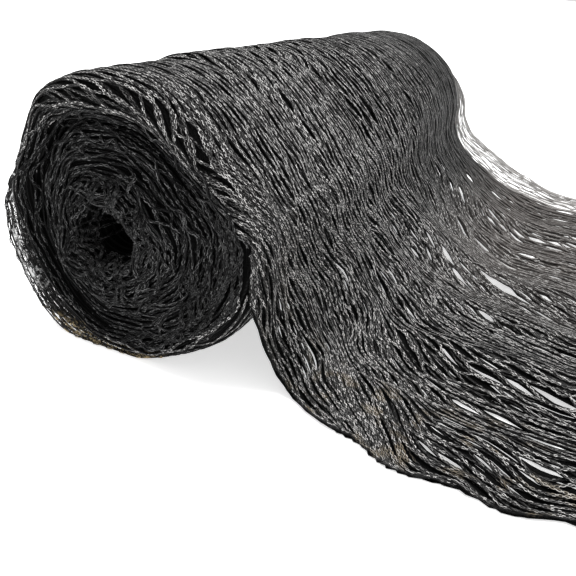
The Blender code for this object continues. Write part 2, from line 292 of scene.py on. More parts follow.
def netSurface():
    # the outer side of the net: u is 0 where it leaves the roll and below 0 round it, v is y,
    # and past the near rim v goes on down the end face
    ys = np.arange(nearY - looseShape["overRim"], farY + looseShape["readPast"], stepLength)
    angles = np.linspace(looseShape["lastAngle"], 0, arcSteps + 1)
    angle, y = np.meshgrid(angles, ys, indexing="ij")
    thick = looseShape["thick"]
    onSide = np.maximum(y, nearY)
    around = onRoll(angle, onSide, skinRadius(angle, np.minimum(onSide, farY)) - thick)
    share = 1 - (nearY - np.minimum(y, nearY)) / rollShape["radius"]
    over = facePoints(angle, share * (1 - thick / rollShape["radius"]), nearY, nearLumps,
                      thick * ease((1 - share) / 0.08))
    around = np.where((y < nearY)[..., None], over, around)
    columns = []
    for place in ys:
        side = max(place, nearY)
        start = onRoll(0.0, side, outerRadius(0.0, min(side, farY)) - thick)[0]
        x, z, heading, run = fallColumn(side, start)
        fold = foldHeight(x, side, run)
        placeY = place + rimShift(0, side) + edgeShift(x, side, run)
        columns.append(np.stack([
            x - heading[1] * fold, placeY, np.maximum(0.0, z + heading[0] * fold)], -1))
    inner = np.concatenate([around, np.stack(columns, 1)])
    under = Surface(inner, lowestU, looseShape["runOut"], ys[0], ys[-1], 1)
    return Surface(inner + under.normals * thick, lowestU, looseShape["runOut"], ys[0], ys[-1], 1)


def faceSurface(y, lumps):
    # an end of the roll: u is the angle, v the share of the radius
    angle, share = np.meshgrid(np.linspace(0, 2 * math.pi, 361), np.linspace(0.04, 1.0, 121),
                               indexing="ij")
    return Surface(facePoints(angle, share, y, lumps), 0, 2 * math.pi, 0.04, 1.0, 1 if y > 0 else -1)


stepLength = 0.003
fallSteps = round(looseShape["runOut"] / stepLength)
arcSteps = round(looseShape["lastAngle"] * rollShape["radius"] / stepLength)
firstU = -looseShape["firstAngle"] * rollShape["radius"]
lowestU = -looseShape["lastAngle"] * rollShape["radius"]
net = netSurface()
nearFace = faceSurface(nearY, nearLumps)
farFace = faceSurface(farY, farLumps)
print("surfaces read")


# Shader maths and nodes
def connect(tree, place, value):
    if isinstance(value, Value):
        tree.links.new(value.socket, place)
    else:
        place.default_value = value


class Value:
    # wraps a socket, so that sums and products add their own nodes
    def __init__(self, tree, socket):
        self.tree = tree
        self.socket = socket

    def math(self, operation, *others):
        made = self.tree.nodes.new("ShaderNodeMath")
        made.operation = operation
        for place, value in zip(made.inputs, (self, *others)):
            connect(self.tree, place, value)
        return Value(self.tree, made.outputs[0])

    def __add__(self, other):
        return self.math("ADD", other)

    def __sub__(self, other):
        return self.math("SUBTRACT", other)

    def __rsub__(self, other):
        return (self * -1).math("ADD", other)

    def __mul__(self, other):
        return self.math("MULTIPLY", other)

    def __truediv__(self, other):
        return self.math("DIVIDE", other)

    def __pow__(self, other):
        return self.math("POWER", other)

    __radd__ = __add__
    __rmul__ = __mul__

    def cosine(self):
        return self.math("COSINE")

    def within(self, low, high):
        # from 0 at low to 1 at high, held outside
        return ((self - low) / (high - low)).math("MINIMUM", 1.0).math("MAXIMUM", 0.0)


class Finish:
    # a material with its one shader, and the method that adds any other node
    def __init__(self, name):
        self.material = bpy.data.materials.new(name)
        self.material.use_nodes = True
        self.tree = self.material.node_tree
        self.shader = self.tree.nodes["Principled BSDF"]

    def node(self, kind, settings=None, output=0, **inputs):
        # an input goes by its name, or as i0, i1 by its number
        made = self.tree.nodes.new(kind)
        for name, value in (settings or {}).items():
            setattr(made, name, value)
        for name, value in inputs.items():
            connect(self.tree, made.inputs[int(name[1:]) if name[1:].isdigit() else name], value)
        return Value(self.tree, made.outputs[output])

    def give(self, name, value):
        connect(self.tree, self.shader.inputs[name], value)

    def mix(self, share, low, high):
        return self.node("ShaderNodeMix", {"data_type": "RGBA"}, output=2, i0=share, i6=low, i7=high)

    def patches(self, first, second, detail=1.0):
        return self.node("ShaderNodeTexNoise", {"noise_dimensions": "2D"}, Scale=1.0, Detail=detail,
                         i0=self.node("ShaderNodeCombineXYZ", i0=first, i1=second))

    def speckles(self, first, second):
        return self.node("ShaderNodeTexWhiteNoise", {"noise_dimensions": "2D"},
                         i0=self.node("ShaderNodeCombineXYZ", i0=first, i1=second))

    def parts(self, vector):
        split = self.node("ShaderNodeSeparateXYZ", i0=vector).socket.node
        return [Value(self.tree, socket) for socket in split.outputs]

    def strandPlace(self):
        # how far along its strand a place is, in metres, and its share of the way round
        return self.parts(self.node("ShaderNodeUVMap", {"uv_map": "strand"}))[:2]

    def tone(self):
        return self.node("ShaderNodeAttribute", {"attribute_name": "tone"}, output=2)

    def objectPlace(self):
        return dict(zip("xyz", self.parts(self.node("ShaderNodeTexCoord", output=3))))


strandFinish = {
    "stitch": 0.0042,            # length of one knitted loop
    "swing": 0.54,               # how far its two legs part, as a share of the strand's half width
    "leg": (0.08, 0.32),
    "glint": 2.65,               # painted glints: how much light the few brightest legs are painted with, and how few they are
    "glintFew": 4.0,
    "legLit": 0.05,
    "dark": (0.0020, 0.0020, 0.0022, 1),
    # the colour that the painted highlights on the legs reach
    "light": (0.840, 0.825, 0.810),
    "rough": (0.42, 0.65),
    "bump": 0.0006,
    "specular": 0.12,
    "softLit": 0.060,            # what the far stitches blur into
    # the colour of painted warm glints along the near hem
    "tan": (0.420, 0.340, 0.230, 1),
    # the colour of the painted light shining through from the floor
    "shine": (0.215, 0.190, 0.175, 1),
    # the band of noise in which those painted warm glints lie
    "tanGlintPatch": (0.54, 0.68),
}
brimFinish = {
    # the painted shine of the outer filaments, and the warm glints painted low down
    "silverShine": (0.86, 0.86, 0.86, 1), "goldShine": (0.60, 0.47, 0.26, 1),
    "shining": (0.52, 0.60), "outermost": (0.45, 0.60), "glint": (0.88, 0.93),
    "goldGlint": (0.45, 0.90), "goldPatch": (0.46, 0.54),
}
turnsFinish = {
    # shine: the colour of the painted light coming up through the thin net
    "line": 0.0019, "shine": (0.50, 0.46, 0.43, 1), "streak": (0.44, 0.64), "bump": 0.0008,
    "specular": 0.06,
}
# Where the light and shade painted into the colour change, and where the far stitches blur: it grows from 0
# to "most" over each span
regions = {
    "far": {"y": (-0.040, 0.220), "x": (-0.090, -0.040), "most": 0.78},      # the stitches blur
    # painted shade on the far side, which turns away from the light
    "shade": {"y": (0.000, 0.140), "z": (0.020, 0.045), "x": (0.020, 0.075), "most": 0.42},
    "rim": {"y": (-0.240, -0.295), "most": 0.22},
    "clear": {"x": (0.070, 0.105), "most": 1.0},        # the far edge stands free of the roll, and is painted paler where the light behind shows round its strands
    "thin": {"x": (0.125, 0.200), "y": (-0.120, 0.060), "most": 0.38},       # painted light of the floor shining through
    # painted light through the thin net that lies on the floor
    "thinCloth": {"x": (0.125, 0.200), "y": (-0.120, 0.020), "most": 1.0},
    "tan": {"y": (-0.225, -0.270), "x": (0.095, 0.120), "most": 0.5},        # painted warm glints along the near hem
    # where the brim is painted with shine, with glints and, low down, with warm glints
    "silverShine": {"z": (0.018, 0.034), "most": 1.0},
    "glint": {"z": (0.020, 0.034), "most": 0.7},
    "goldShine": {"z": (0.015, 0.007), "most": 1.0},
}


def inRegion(place, name, share=1.0):
    spans = dict(regions[name])
    inside = spans.pop("most") * share
    for axis, span in spans.items():
        inside = place[axis].within(*span) * inside
    return inside


def litAndTinted(finish, lit, brightness, warm):
    # mixes the dark strand colour towards the painted highlight colour as lit grows, with a warm or cool
    # cast
    red, green, blue = (c * brightness for c in strandFinish["light"])
    return finish.mix(lit, strandFinish["dark"], (red * (1 + warm), green, blue * (1 - warm), 1))


# Tone times a large number gives each strand its own part of a pattern of noise.
def knitted(name, brightness=1.0, warm=0.0, spare=0.012, soft=1.0, clear=0.0):
    # loops with two legs that meet at every stitch; the light that each leg catches, and the glints on the
    # brightest, are painted into the colour
    finish = Finish(name)
    look = strandFinish
    along, around = finish.strandPlace()
    tone = finish.tone()
    place = finish.objectPlace()
    stitch = along / look["stitch"] + tone * 9.0
    lateral = ((around + 0.125) * (2 * math.pi)).cosine()
    swing = (stitch * math.pi).math("SINE") * look["swing"]
    apart = (lateral - swing).math("ABSOLUTE").math("MINIMUM", (lateral + swing).math("ABSOLUTE"))
    leg = 1.0 - apart.within(*look["leg"])
    own = finish.speckles((stitch * 2.0 + 0.5).math("FLOOR"), lateral.math("SIGN") + tone * 731.0)
    slow = finish.patches(along * 60.0, tone * 97.0)
    # painted highlights on the legs, with a few bright glints
    lit = leg * (own ** look["glintFew"] * look["glint"] + look["legLit"])
    lit = lit * (slow * 1.1 + 0.45) * (0.62 + tone * 0.45) + spare
    far = inRegion(place, "far", soft)
    lit = lit * (1.0 - far) + far * look["softLit"] * (0.5 + slow)
    # painted shade on the far side, and darker towards the near rim
    lit = lit * (1.0 - inRegion(place, "shade", soft)) * (1.0 - inRegion(place, "rim"))
    # painted light: the far edge is made paler where the light behind it shows round the strands
    if clear:
        lit = lit + inRegion(place, "clear", clear) * (0.6 + slow * 0.8)
    # painted light: the floor shining through the thin loose net, as a pale warm colour
    shone = finish.mix(inRegion(place, "thin", soft) * (0.4 + slow),
                       litAndTinted(finish, lit, brightness, warm), look["shine"])
    # painted warm glints in patches along the near hem
    patch = finish.patches(place["x"] * 48.0, place["y"] * 60.0)
    tan = patch.within(*look["tanGlintPatch"]) * inRegion(place, "tan", soft)
    finish.give("Base Color", finish.mix(tan * leg, shone, look["tan"]))
    low, high = look["rough"]
    finish.give("Roughness", high - leg * (high - low))
    finish.give("Normal", finish.node("ShaderNodeBump", Strength=0.9, Distance=look["bump"],
                                      Height=leg * (1.0 - far * 0.3)))
    finish.give("Specular IOR Level", look["specular"])
    return finish.material


def filament(name, low, high, warm=0.0, silverShine=0.0):
    # single filaments, with highlights painted in along them where they turn to the light
    finish = Finish(name)
    along = finish.strandPlace()[0]
    tone = finish.tone()
    own = finish.patches(along * 420.0, tone * 173.0)
    lit = own.within(0.36, 0.72) ** 1.6 * (high - low) * (0.15 + tone * 0.9) + low
    colour = litAndTinted(finish, lit, 1.0, warm)
    if silverShine:
        # painted light: the outermost filaments are painted with shine in patches, those further in with
        # glints only, and those low down with warm glints
        look = brimFinish
        place = finish.objectPlace()
        patch = finish.patches(along * 42.0, tone * 17.0, 3.0)
        glint = finish.speckles((along * 620.0).math("FLOOR"), tone * 731.0)
        shining = patch.within(*look["shining"]) * tone.within(*look["outermost"])
        shining = (shining * inRegion(place, "silverShine")).math(
            "MAXIMUM", glint.within(*look["glint"]) * inRegion(place, "glint"))
        goldShining = glint.within(*look["goldGlint"]) * patch.within(*look["goldPatch"])
        colour = finish.mix(shining * silverShine, colour, look["silverShine"])
        colour = finish.mix(goldShining * inRegion(place, "goldShine"), colour, look["goldShine"])
    finish.give("Base Color", colour)
    finish.give("Roughness", 0.62 - own * 0.2)
    finish.give("Specular IOR Level", strandFinish["specular"])
    return finish.material


def packedTurns(name, lowLight, highLight, shining=0.0):
    # the turns below the shown strands: fine dark lines of knit along the net
    finish = Finish(name)
    look = turnsFinish
    along, across = finish.strandPlace()
    wander = finish.patches(along * 16.0, across * 90.0)
    lines = ((across / look["line"] + wander * 2.2) * (2 * math.pi)).cosine() * 0.5 + 0.5
    stitches = ((along / strandFinish["stitch"] + wander * 30.0) * (2 * math.pi)).cosine() * 0.5 + 0.5
    lit = lines ** 3.0 * (0.25 + stitches * 0.75)
    colour = finish.mix(lit, (lowLight, lowLight, lowLight, 1), (highLight, highLight, highLight, 1))
    if shining:
        # painted light that comes up through the thin net where it lies on the floor
        place = finish.objectPlace()
        streak = finish.patches(place["x"] * 16.0, place["y"] * 120.0, 2.0)
        share = streak.within(*look["streak"]) * inRegion(place, "thinCloth", shining)
        colour = finish.mix(share, colour, look["shine"])
    finish.give("Base Color", colour)
    finish.give("Roughness", 0.80 - lit * 0.2)
    finish.give("Normal", finish.node("ShaderNodeBump", Strength=0.8, Distance=look["bump"], Height=lit))
    finish.give("Specular IOR Level", look["specular"])
    return finish.material


# Making meshes
floorGap = 0.0003            # the lowest strands lie just clear of the floor plane


def makeObject(name, vertices, faces, loopUvs, tones, material):
    mesh = bpy.data.meshes.new(name)
    mesh.from_pydata(vertices.astype(np.float32), [], faces)
    layer = mesh.uv_layers.new(name="strand")
    layer.data.foreach_set("uv", loopUvs.astype(np.float32).ravel())
    attribute = mesh.attributes.new("tone", "FLOAT", "POINT")
    attribute.data.foreach_set("value", tones.astype(np.float32))
    mesh.shade_smooth()
    mesh.materials.append(material)
    obj = bpy.data.objects.new(name, mesh)
    bpy.context.scene.collection.objects.link(obj)
    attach(obj, "root")
    return obj


def runAlong(points):
    steps = np.linalg.norm(np.diff(points, axis=1), axis=-1)
    return np.concatenate([np.zeros((len(points), 1)), np.cumsum(steps, axis=1)], 1)


def crossAxes(points, normals):
    tangent = np.gradient(points, axis=1)
    tangent /= np.maximum(np.linalg.norm(tangent, axis=-1, keepdims=True), 1e-9)
    side = np.cross(tangent, normals)
    side /= np.maximum(np.linalg.norm(side, axis=-1, keepdims=True), 1e-9)
    return side, np.cross(side, tangent)


def tubeParts(points, normals, halfWide, halfHigh, sides, tones, pace=1.0):
    # a tube for each row of points: vertices, quads, their UVs, end faces, their UVs and tones
    count, length = points.shape[:2]
    side, up = crossAxes(points, normals)
    turn = 2 * math.pi * (np.arange(sides) + 0.5) / sides
    wide = np.broadcast_to(np.asarray(halfWide), (count, length))[..., None, None]
    high = np.broadcast_to(np.asarray(halfHigh), (count, length))[..., None, None]
    rings = points[:, :, None] + side[:, :, None] * np.cos(turn)[None, None, :, None] * wide
    rings = rings + up[:, :, None] * np.sin(turn)[None, None, :, None] * high
    rings[..., 2] = np.maximum(rings[..., 2], floorGap)
    index = np.arange(count * length * sides).reshape(count, length, sides)
    after = np.roll(index, -1, axis=2)
    quads = np.stack([index[:, :-1], after[:, :-1], after[:, 1:], index[:, 1:]], -1).reshape(-1, 4)
    run = runAlong(points) * np.broadcast_to(pace, count)[:, None]
    share = np.arange(sides) / sides
    shape = (count, length - 1, sides)
    low = np.broadcast_to(run[:, :-1, None], shape)
    high = np.broadcast_to(run[:, 1:, None], shape)
    left = np.broadcast_to(share[None, None], shape)
    right = left + 1 / sides
    uvs = np.stack([np.stack([low, left], -1), np.stack([low, right], -1),
                    np.stack([high, right], -1), np.stack([high, left], -1)], -2).reshape(-1, 2)
    ends = np.concatenate([index[:, 0, ::-1], index[:, -1]])
    endUvs = np.stack([np.repeat(np.concatenate([run[:, 0], run[:, -1]]), sides),
                       np.tile(share, 2 * count)], -1)
    return rings.reshape(-1, 3), quads, uvs, ends, endUvs, np.repeat(tones, length * sides)


def makeStrands(name, material, *groups):
    # joins the tubes of several groups of strands, given as tubeParts takes them, into one mesh
    vertices, faces, uvs, tones = [], [], [], []
    base = 0
    for group in groups:
        points, quads, quadUvs, ends, endUvs, toneOf = tubeParts(*group)
        vertices.append(points)
        faces += (quads + base).tolist() + (ends + base).tolist()
        uvs += [quadUvs, endUvs]
        tones.append(toneOf)
        base += len(points)
    made = makeObject(name, np.concatenate(vertices), faces, np.concatenate(uvs),
                      np.concatenate(tones), material)
    print(name, sum(len(face) - 2 for face in faces), "triangles")
    return made


chainShape = {
    "stitch": 0.0044, "steps": 5, "halfWide": 0.00044, "swing": 0.00092, "lap": 0.00050,
}


def chained(points, normals, tones, size=1.0):
    # a strand as knitted: two filaments that cross at every stitch and part between
    side, up = crossAxes(points, normals)
    phase = math.pi * (runAlong(points) / (chainShape["stitch"] * size) + tones[:, None] * 7)
    paths = []
    for sign in (1, -1):
        across = sign * chainShape["swing"] * size * np.sin(phase)
        over = sign * chainShape["lap"] * size * np.cos(phase)
        paths.append(points + side * across[..., None] + up * over[..., None])
    thick = chainShape["halfWide"] * size
    return np.concatenate(paths), np.tile(normals, (2, 1, 1)), thick, thick, 3, np.tile(tones, 2)


# Where light shows through: the sheet's largest lens-shaped gaps, and many finer ones
gapShape = {
    "firstRow": 3, "every": 4, "halfWide": 0.0006, "halfLong": 0.015,
    "denseY": -0.130, "rimY": -0.255, "slitWide": 0.66, "slitLong": 1.4,
    "fineCount": 1500, "fineLong": (0.007, 0.020), "fineWide": (0.0001, 0.0007),
    "roundCount": 380, "roundLong": (0.006, 0.018), "roundWide": (0.0001, 0.0006),
    "seed": 11,
}
# u, y, half length, half width of the widest slits
slitTable = (
    (0.042, 0.124, 0.010, 0.0036), (0.074, 0.097, 0.018, 0.0048), (0.108, 0.064, 0.022, 0.0048),
    (0.148, 0.048, 0.022, 0.0044), (0.182, 0.029, 0.026, 0.0040), (0.200, 0.012, 0.024, 0.0020),
    (0.068, 0.124, 0.008, 0.0014), (0.051, 0.169, 0.006, 0.0034),
    (0.082, 0.127, 0.013, 0.0024), (0.084, 0.178, 0.005, 0.0036), (0.107, 0.137, 0.008, 0.0026),
    (0.103, 0.110, 0.006, 0.0018), (0.124, 0.092, 0.006, 0.0020), (0.123, 0.120, 0.006, 0.0012),
    (0.129, 0.130, 0.007, 0.0016), (0.099, 0.047, 0.011, 0.0034), (0.065, 0.030, 0.012, 0.0030),
    (0.078, -0.016, 0.008, 0.0015), (0.093, -0.020, 0.009, 0.0015), (0.102, -0.010, 0.012, 0.0018),
    (0.116, 0.002, 0.012, 0.0022), (0.116, -0.027, 0.007, 0.0012), (0.137, -0.028, 0.009, 0.0014),
    (0.160, -0.026, 0.007, 0.0016), (0.185, -0.040, 0.026, 0.0060), (0.210, -0.060, 0.014, 0.0024),
    (0.140, -0.091, 0.012, 0.0018),
    (0.158, -0.094, 0.014, 0.0018), (0.180, -0.098, 0.009, 0.0018), (0.157, 0.118, 0.016, 0.0022),
    (0.182, 0.110, 0.018, 0.0026), (0.182, 0.094, 0.014, 0.0026), (0.225, 0.115, 0.012, 0.0022),
    (0.227, -0.044, 0.013, 0.0018), (0.237, -0.051, 0.009, 0.0016), (0.228, -0.064, 0.013, 0.0020),
    (0.247, -0.056, 0.010, 0.0018), (0.242, -0.071, 0.010, 0.0020), (0.204, -0.066, 0.007, 0.0020),
    (0.241, -0.036, 0.010, 0.0020), (0.227, -0.030, 0.007, 0.0018), (0.239, 0.019, 0.010, 0.0024),
    (0.121, -0.144, 0.010, 0.0030), (0.107, -0.113, 0.008, 0.0014), (0.300, 0.060, 0.030, 0.0026),
)
# u, y, half length, half width of the long dark furrows between the outer strands
furrowTable = (
    (-0.080, -0.126, 0.150, 0.0015), (-0.070, -0.040, 0.080, 0.0004), (0.030, -0.190, 0.050, 0.0005),
    (0.070, -0.106, 0.080, 0.0006), (0.100, -0.215, 0.040, 0.0006), (-0.050, 0.070, 0.090, 0.0005),
    (-0.120, 0.140, 0.090, 0.0004),
)


def stations():
    # the columns along Y that the sheet's solid has
    places = [nearY + 0.009, nearY + 0.019, nearY + 0.034]
    for place, _, width, _, _ in creaseTable:
        places += [place - width / 2, place, place + width / 2]
    places += [farY - rollShape["farRound"], farY - 0.012, farY - 0.004, farY]
    filled = places[:1]
    for place in places[1:]:
        start = filled[-1]
        pieces = math.ceil((place - start) / 0.045)
        filled += [start + (place - start) * k / pieces for k in range(1, pieces + 1)]
    return filled + [farY + looseShape["overhang"]]


def throughGaps():
    # u, y, half length, half width of each gap that goes right through the loose net
    rng = np.random.default_rng(gapShape["seed"])
    rows = looseShape["fallRows"]
    columns = stations()
    found = [(u, y, long * gapShape["slitLong"], wide * gapShape["slitWide"])
             for u, y, long, wide in slitTable]
    for column in range(1, len(columns) - 1):
        for row in range(gapShape["firstRow"], rows - 2):
            if (row - gapShape["firstRow"]) % gapShape["every"] != 2 * (column % 2):
                continue
            u = looseShape["runOut"] * (row + 1) / rows
            y = columns[column]
            long = gapShape["halfLong"] * rng.uniform(0.75, 1.35)
            wide = gapShape["halfWide"] * rng.uniform(0.35, 1.0)
            if y < gapShape["denseY"]:
                continue
            found.append((u, y + rng.normal(0, 0.002), long, wide))
    for _ in range(gapShape["fineCount"]):
        y = nearY + 0.012 + (farY - nearY) * (1 - rng.random() ** 1.5)
        u = 0.030 + (looseShape["runOut"] - 0.03) * rng.random() ** 0.8
        if y < gapShape["denseY"] and (y < -0.17 or rng.random() < 0.8):
            continue
        found.append((u, y, rng.uniform(*gapShape["fineLong"]), rng.uniform(*gapShape["fineWide"])))
    return found


def roundGaps():
    # dark slots between the uppermost strands, where the turn below shows
    rng = np.random.default_rng(gapShape["seed"] + 1)
    found = list(furrowTable)
    for _ in range(gapShape["roundCount"]):
        y = nearY + 0.004 + (farY - nearY) * rng.random() ** 1.7
        u = lowestU + (0.03 - lowestU) * rng.random()
        long, wide = rng.uniform(*gapShape["roundLong"]), rng.uniform(*gapShape["roundWide"])
        if y > gapShape["rimY"]:
            found.append((u, y, long, wide * (1.1 - 0.8 * ease(y / 0.12))))
    return found


# The way that strands drift sideways along the net. Each row starts with where a strand leaves the
# roll's side, and then gives its shift in millimetres at each station.
laneStations = (-0.60, -0.28, -0.18, -0.10, -0.07, -0.035, 0.0, 0.05, 0.09, 0.125, 0.15, 0.18, 0.25, 0.37)
laneTable = (
    (-0.298, (-4, -8, -14, -17, -18, -13, -3, 0, 0, -8, -20, -40, -60, -80)),
    (-0.257, (-7, -16, -30, -42, -44, -38, -20, 0, 0, -15, -38, -60, -85, -105)),
    (-0.215, (-10, -26, -50, -68, -72, -66, -38, 0, 0, -36, -60, -88, -115, -130)),
    (-0.150, (-8, -20, -40, -74, -80, -70, -40, 0, -10, -38, -60, -78, -95, -105)),
    (-0.111, (-7, -18, -36, -78, -84, -76, -46, 0, 5, -6, -26, -46, -68, -80)),
    (-0.041, (-6, -15, -29, -82, -85, -69, -28, 0, -2, -14, -26, -42, -66, -78)),
    (0.020, (-3, -8, -20, -50, -54, -42, -14, 0, -14, -30, -42, -58, -90, -105)),
    (0.120, (0, 0, -8, -18, -18, -6, 6, 0, -32, -62, -74, -91, -95, -100)),
    (0.290, (0, 0, 0, 0, 0, 0, 0, 0, 2, 2, 0, -2, -4, -4)),
    (0.333, (-28, -26, -26, -22, -16, -8, 0, 8, 10, 10, 6, 0, -16, -24)),
)


def laneField():
    # the shift in metres on an even grid of labels and stations, smoothed both ways
    labels = np.arange(laneLow[0], laneTable[-1][0] + laneStep, laneStep)
    stops = np.arange(laneLow[1], laneStations[-1] + laneStep, laneStep)
    rows = np.array([np.interp(stops, laneStations, np.array(row) / 1000) for _, row in laneTable])
    places = [row[0] for row in laneTable]
    field = np.array([np.interp(labels, places, column) for column in rows.T]).T
    for axis in (0, 1):
        field = np.apply_along_axis(evened, axis, field, mode="reflect", reflect_type="odd")
    return labels, field


laneStep = 0.002
laneLow = (-0.300, laneStations[0])
laneLabels, laneShifts = laneField()


def laneShift(u, label):
    return readGrid(laneShifts, (label - laneLow[0]) / laneStep, (u - laneLow[1]) / laneStep)


def openGaps(u, y, gaps, own):
    # pushes each strand to its own side of the gaps that it meets, which follow the strands' way
    for placeU, placeY, halfLong, halfWide in gaps:
        inside = np.nonzero(np.abs(u - placeU) < halfLong)[0]
        if not len(inside):
            continue
        lanes = laneLabels + laneShift(np.full_like(laneLabels, placeU), laneLabels)
        label = np.interp(placeY, lanes, laneLabels)
        path = label + laneShift(u[inside], np.full(len(inside), label))
        apart = y[:, inside] - path
        side = np.where(apart[:, len(inside) // 2] < 0, -1.0, 1.0)[:, None]
        off = np.maximum(side * apart, 0)
        edge = halfWide + own
        reach = 3.0 * edge
        close = np.nonzero(off.min(axis=1) < reach)[0]
        share = np.abs(u[inside] - placeU) / halfLong
        opened = edge * (1 - share ** 2) ** 1.2
        off = off[close]
        moved = np.where(off < reach, np.sqrt(opened ** 2 + off ** 2 * (1 - (opened / reach) ** 2)), off)
        weight = 1 - share ** 4
        spot = np.ix_(close, inside)
        y[spot] = y[spot] * (1 - weight) + (path + side[close] * moved) * weight
    return y


netShape = {
    "cell": 0.026,               # one side of a mesh, drawn shut along the net
    "spread": 0.0030,            # between strands where the net is dense
    "openSpread": 0.0036,        # and near the near rim, where it has opened
    "openBand": 0.085,
    "farCloser": 0.18,
    "halfWide": 0.00150,
    "halfHigh": 0.00075,
    "ropeLong": 0.055,           # strands draw together into ropes of about this length and width
    "ropeWide": 0.0078,
    "ropePull": 0.10,
    "ropeRise": 0.0008,
    "overRim": 0.019,            # how far the outer strands reach down the end face
    "tuck": 0.010,               # how far strands that meet the near hem turn back under it
    "rimThin": 0.22,             # strands near the rim are this much thinner
    "farWider": 0.16,            # and those of the far half this much wider
    "step": 0.0045,
    "backStep": 0.009,
    "seed": 5,
}
layShape = {
    "gap": (0.0020, 0.0050),     # the spacing that weaving and straying count with
    "weave": 0.46,               # shares of it
    "stray": 0.7,
    "strayLong": 0.018,
    "sway": 0.0026,              # slow drift that neighbours share
    "uneven": 0.0008,            # rise and fall of a strand
    "unevenLong": 0.016,
    "sheetFrom": -0.050,         # the near hem leaves the rim of the roll here, over this length
    "sheetOver": 0.036,
    "hemIn": 0.0012,
    "rimDown": 0.060,
    "tuckedUnder": 0.0030,       # how deep strands that turn back lie
    "tuckedOver": 0.0070,
    "sunk": 0.0060,              # strands past their reach sink below the end face
}
hemPlaces = (-0.2990, -0.2975, -0.2960)      # extra strands where the near hem curls in
# u, how far the near hem is drawn in along Y
hemTable = (
    (0.028, 0.000), (0.050, 0.008), (0.075, 0.009), (0.100, 0.012), (0.120, 0.010), (0.142, 0.004),
    (0.165, 0.000),
)


def strandPlaces(low, high, spread, openSpread):
    # where strands lie across the net, wider apart towards the near rim and closest at the far one
    places = [*hemPlaces, low]
    while places[-1] < high:
        share = float(ease((places[-1] - nearY) / netShape["openBand"]))
        far = 1 - netShape["farCloser"] * float(ease(places[-1] / 0.12))
        places.append(places[-1] + (openSpread + (spread - openSpread) * share) * far)
    return np.array(places[:-1])


def drawnTogether(u, y, seed):
    # the sideways pull into ropes, and how high on its rope a strand lies
    long, wide, probe = netShape["ropeLong"], netShape["ropeWide"], 0.0004
    place = u / long + 40
    above = smoothNoise(place, (y + probe) / wide + 90, seed)
    below = smoothNoise(place, (y - probe) / wide + 90, seed)
    return netShape["ropePull"] * wide ** 2 * (above - below) / (2 * probe), (above + below) / 2


def layStrands(us, labels, seed, gaps, own, lift=0.0, weave=1.0):
    # u, y, lift and tone of the strands of one layer
    shape = layShape
    order = np.arange(len(labels))
    u = np.broadcast_to(us[None], (len(labels), len(us)))
    label = np.broadcast_to(labels[:, None], u.shape)
    y = label + laneShift(u, label)
    gap = np.clip(np.gradient(y, axis=0), *shape["gap"]) * weave
    phase = 1.1 * smoothNoise(u / 0.09 + 40, label / 0.05 + 40, seed)
    meet = np.where(order % 2, -1.0, 1.0)[:, None]
    y = y + meet * gap * shape["weave"] * np.sin(math.pi * u / netShape["cell"] + phase)
    y = y + shape["sway"] * smoothNoise(u / 0.13 + 40, label / 0.10 + 40, seed + 1)
    line = np.broadcast_to(order[:, None] * 7.31, u.shape)
    y = y + gap * shape["stray"] * smoothNoise(u / shape["strayLong"] + 40, line, seed + 2)
    pull, rope = drawnTogether(u, y, netShape["seed"] + 4)
    y = openGaps(us, y + pull, gaps, own)
    onSheet = ease((u - shape["sheetFrom"]) / shape["sheetOver"])
    hem = nearY + shape["hemIn"] - shape["rimDown"] * (1 - onSheet) + np.interp(u, *np.array(hemTable).T)
    past = np.maximum(hem - y, 0)
    y = np.maximum(y, hem) + netShape["tuck"] * (1 - np.exp(-past / netShape["tuck"]))
    uneven = smoothNoise(u / shape["unevenLong"] + 40, line * 0.43, seed + 3)
    high = lift + netShape["ropeRise"] * rope + shape["uneven"] * uneven
    high = high - shape["tuckedUnder"] * ease(past / shape["tuckedOver"])
    reach = netShape["overRim"] * ease((-u - 0.02) / 0.05) * (1 - ease((-u - 0.20) / 0.06))
    high = high - shape["sunk"] * ease((nearY - y - reach) / 0.006)
    tones = np.random.default_rng(seed).random(1000)[order]
    return u, y, high, tones


def strandGroup(laid, first, last, wide=1.0, high=1.0, sides=4):
    u, y, lift, tones = (grid[:, first:last] if grid.ndim > 1 else grid for grid in laid)
    points, normals = net.at(u, y, lift)
    thin = 1 - netShape["rimThin"] * (1 - ease((y.mean(axis=1) - nearY) / 0.110))
    thin = thin + netShape["farWider"] * ease(y.mean(axis=1) / 0.12)
    wide = wide[:, first:last] if isinstance(wide, np.ndarray) else wide * thin[:, None]
    return points, normals, netShape["halfWide"] * wide, netShape["halfHigh"] * high, sides, tones, 1 / thin


throughList = throughGaps()
roundList = roundGaps()
print(len(throughList), "gaps in the loose net,", len(roundList), "on the roll")

strandMaterial = knitted("knitted black strands")
# a darker copy of the strand finish: painted shade on the strands that lie below
deepMaterial = knitted("knitted strands below", 0.35)
# a copy of the strand finish with the light behind the far edge painted in
laceMaterial = knitted("knitted strands against the light", 0.72, 0.01, 0.02, 0.6, 0.60)
turnsMaterial = packedTurns("packed turns", 0.0010, 0.012)
clothMaterial = packedTurns("closed-up net", 0.002, 0.030, 0.9)

